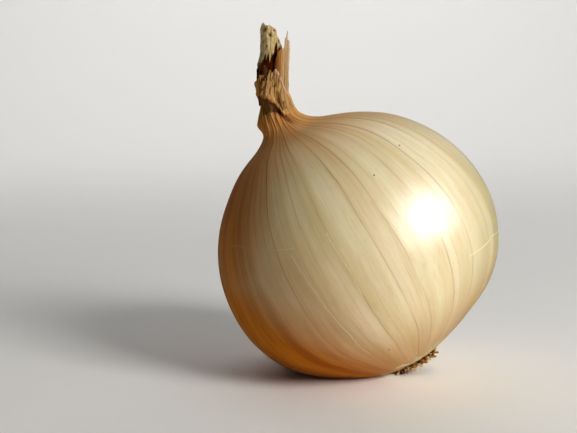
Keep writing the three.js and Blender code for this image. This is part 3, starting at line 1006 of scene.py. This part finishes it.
def makeRoots():
    parts = [makeRootPlate()]
    for k in range(rootEnd["stubs"]):  # over the plate in a spiral
        reach = (bulb["plateRadius"] - 0.2) * rootEnd["reach"] * math.sqrt((k + 0.5) / rootEnd["stubs"])
        parts.append(makeRootStub(k, reach, math.radians(rootEnd["spiral"]) * k, size=1, sunk=0.3))
    start, end = map(math.radians, rootEnd["crumbSpread"])
    for k in range(rootEnd["crumbs"]):  # and short ones in the rim of the skin
        turn = start + (end - start) * (k + float(scatter(k, series=200))) / rootEnd["crumbs"]
        reach = bulb["plateRadius"] - 0.1 + 1.3 * float(scatter(k, series=201))
        parts.append(makeRootStub(500 + k, reach, turn, size=0.7, sunk=0.8))
    pointSets, faces, tones, count = [], [], [], 0
    for points, partFaces, tone in parts:
        pointSets.append(points)
        faces += [tuple(i + count for i in face) for face in partFaces]
        tones.append(tone)
        count += len(points)
    points, fields = np.concatenate(pointSets) + shift, {"tone": np.concatenate(tones)}
    addPiece("rootEnd", points, faces, fields, rootFinish, ["root_plate"])


makeRoots()


# Table, backdrop, light and camera.

stageSettings = {
    "halfWidth": 1.6,
    "front": -1.2,
    "back": 0.9,
    "curve": 0.5,
    "height": 1.6,
    "colour": paint(246, 245, 243),
}


def makeStage():
    s = stageSettings
    bend = np.linspace(0, np.pi / 2, 24)
    profile = [(s["front"], 0.0)]
    profile += [(s["back"] + s["curve"] * math.sin(b), s["curve"] * (1 - math.cos(b))) for b in bend]
    profile.append((s["back"] + s["curve"], s["height"]))
    points = [(x, y, z) for y, z in profile for x in (-s["halfWidth"], s["halfWidth"])]
    faces = [(2 * i, 2 * i + 1, 2 * i + 3, 2 * i + 2) for i in range(len(profile) - 1)]
    mesh = bpy.data.meshes.new("tableTop")
    mesh.from_pydata(points, [], faces)
    mesh.shade_smooth()
    f = Finish("tablePaint")
    mesh.materials.append(f.surface(Base_Color=s["colour"], Roughness=0.6, Specular_IOR_Level=0.3))
    table = bpy.data.objects.new("tableTop", mesh)
    bpy.context.scene.collection.objects.link(table)
    table.visible_glossy = False  # the skin shows the lamps, not the white table
    table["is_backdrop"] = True


def addAreaLight(name, light):
    data = bpy.data.lights.new(name, "AREA")
    data.shape, data.size, data.size_y = "RECTANGLE", *light["size"]
    data.energy, data.color = light["power"], light["colour"]
    lamp = bpy.data.objects.new(name, data)
    azimuth, elevation = map(math.radians, light["from"])
    level = math.cos(elevation)
    toLamp = np.array([math.sin(azimuth) * level, -math.cos(azimuth) * level, math.sin(elevation)])
    lamp.location = np.array(light["aim"]) + toLamp * light["distance"]
    lamp.rotation_mode = "QUATERNION"
    lamp.rotation_quaternion = Vector(-toLamp).to_track_quat("-Z", "Y")
    lamp.visible_diffuse = not light.get("glossOnly")
    bpy.context.scene.collection.objects.link(lamp)


onOnion, onBackdrop, white = (0, 0, 0.037), (0, 1.3, 0.3), (1, 1, 1)
lights = {  # from: degrees to the right of the viewer, degrees above the table
    "keyLight": {
        "aim": onOnion, "from": (45, 28), "distance": 0.8, "size": (0.3, 0.3),
        "power": 5.3, "colour": (1, 0.98, 0.94),
    },
    "sheenLight": {  # it only shows as the bright spot on the skin
        "aim": onOnion, "from": (58, 27), "distance": 0.8, "size": (0.38, 0.34),
        "power": 30, "colour": white, "glossOnly": True,
    },
    "backdropLight": {
        "aim": onBackdrop, "from": (0, 55), "distance": 1.0, "size": (1.8, 0.3),
        "power": 10, "colour": white,
    },
}
for name, light in lights.items():
    addAreaLight(name, light)

air = {"colour": (1, 0.97, 0.9, 1), "strength": 0.05}
world = bpy.data.worlds.new("studioAir")
world.use_nodes = True
background = world.node_tree.nodes["Background"]
background.inputs["Color"].default_value = air["colour"]
background.inputs["Strength"].default_value = air["strength"]
bpy.context.scene.world = world
bpy.context.scene.view_settings.view_transform = "Standard"

view = {
    "frameWidth": 577,
    "frameHeight": 433,
    "focalPixels": 1067,
    "bulbPixel": (358.4, 249.4),  # where the middle of the girth is in the picture
    "distance": 0.320,
    "pitch": 6.3,
    "sensor": 36,
    "clipStart": 0.01,
}


def makeCamera():
    v = view
    pitch = math.radians(v["pitch"])
    forward = np.array([0, math.cos(pitch), -math.sin(pitch)])
    upward = np.array([0, math.sin(pitch), math.cos(pitch)])
    rightward = np.array([1.0, 0, 0])
    across = (v["bulbPixel"][0] - v["frameWidth"] / 2) / v["focalPixels"] * v["distance"]
    down = (v["bulbPixel"][1] - v["frameHeight"] / 2) / v["focalPixels"] * v["distance"]
    middle = (girthMiddle + shift) * mm
    data = bpy.data.cameras.new("photoCamera")
    data.sensor_width, data.clip_start = v["sensor"], v["clipStart"]
    data.lens = v["sensor"] * v["focalPixels"] / v["frameWidth"]
    camera = bpy.data.objects.new("photoCamera", data)
    camera.location = middle - forward * v["distance"] - rightward * across + upward * down
    camera.rotation_mode = "QUATERNION"
    camera.rotation_quaternion = Vector(forward).to_track_quat("-Z", "Y")
    bpy.context.scene.collection.objects.link(camera)
    bpy.context.scene.camera = camera


makeStage()
makeCamera()
print("stage, lights and camera made")

sizes = {"cad": [list(corner) for corner in cadBox], "visual": [list(corner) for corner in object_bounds()]}
